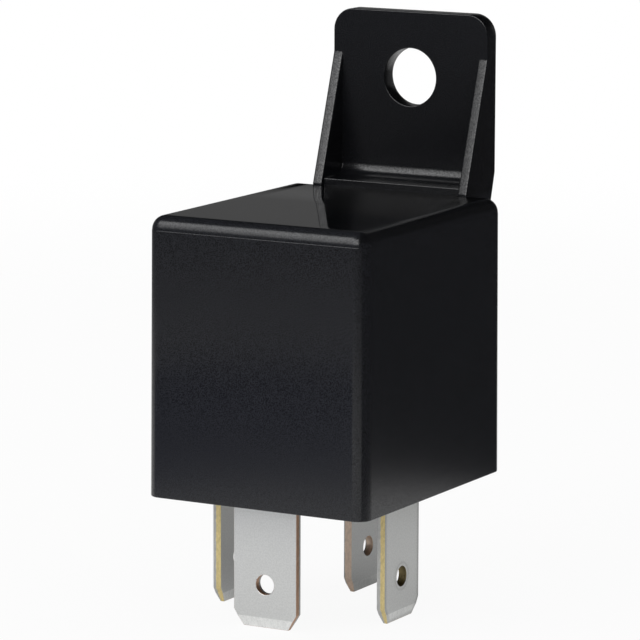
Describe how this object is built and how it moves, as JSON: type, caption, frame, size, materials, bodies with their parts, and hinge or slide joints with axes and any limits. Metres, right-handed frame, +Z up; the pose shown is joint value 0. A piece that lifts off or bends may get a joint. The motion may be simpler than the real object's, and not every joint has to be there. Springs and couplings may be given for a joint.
{
  "type": "automotive relay",
  "caption": "Compact plug-in automotive relay in a black box cover with a screw bracket, flat blade terminals below, and a coil-driven normally open contact inside.",
  "frame": {"origin": "centre of the footprint of the whole relay, bracket included, at the level of the blade tips", "axes": "+Z up along the blades towards the bracket, +Y from the front of the cover to the bracket's plate, +X to the right along the cover's narrow side"},
  "size_m": [0.022, 0.03, 0.052],
  "materials": {
    "cover_plastic": "satin, with a polished roof",
    "base_plastic": "satin",
    "bobbin_plastic": "satin",
    "tinned_blade": "satin tin plate over brass",
    "magnet_steel": "zinc plate",
    "spring_steel": "drawn wire",
    "copper_wire": "enamelled copper",
    "leaf_copper": "rolled copper alloy",
    "contact_silver": "satin silver alloy",
    "coil_tape": "gloss film"
  },
  "bodies": {
    "housing": {"cover": "cover_plastic", "base": "base_plastic", "terminal_85": "tinned_blade", "terminal_86": "tinned_blade", "terminal_30": "tinned_blade", "terminal_87": "tinned_blade", "yoke": "magnet_steel", "core": "magnet_steel", "bobbin": "bobbin_plastic", "coil_winding": "copper_wire", "coil_tape": "coil_tape", "coil_lead_85": "copper_wire", "coil_lead_86": "copper_wire", "open_stop": "magnet_steel", "fixed_contact": "contact_silver", "return_spring": "spring_steel", "flexible_lead": "copper_wire"},
    "armature_group": {"armature": "magnet_steel", "contact_leaf": "leaf_copper", "moving_contact": "contact_silver"}
  },
  "joints": [
    {"name": "armature_pivot", "type": "hinge", "parent": "housing", "child": "armature_group", "pos_m": [0, 0.0059, 0.03122], "axis": [1, 0, 0], "range_deg": [0, 3.2], "stiffness_Nm_per_rad": 0.01, "springref_deg": -5.73, "deforming": ["return_spring", "flexible_lead"]}
  ]
}
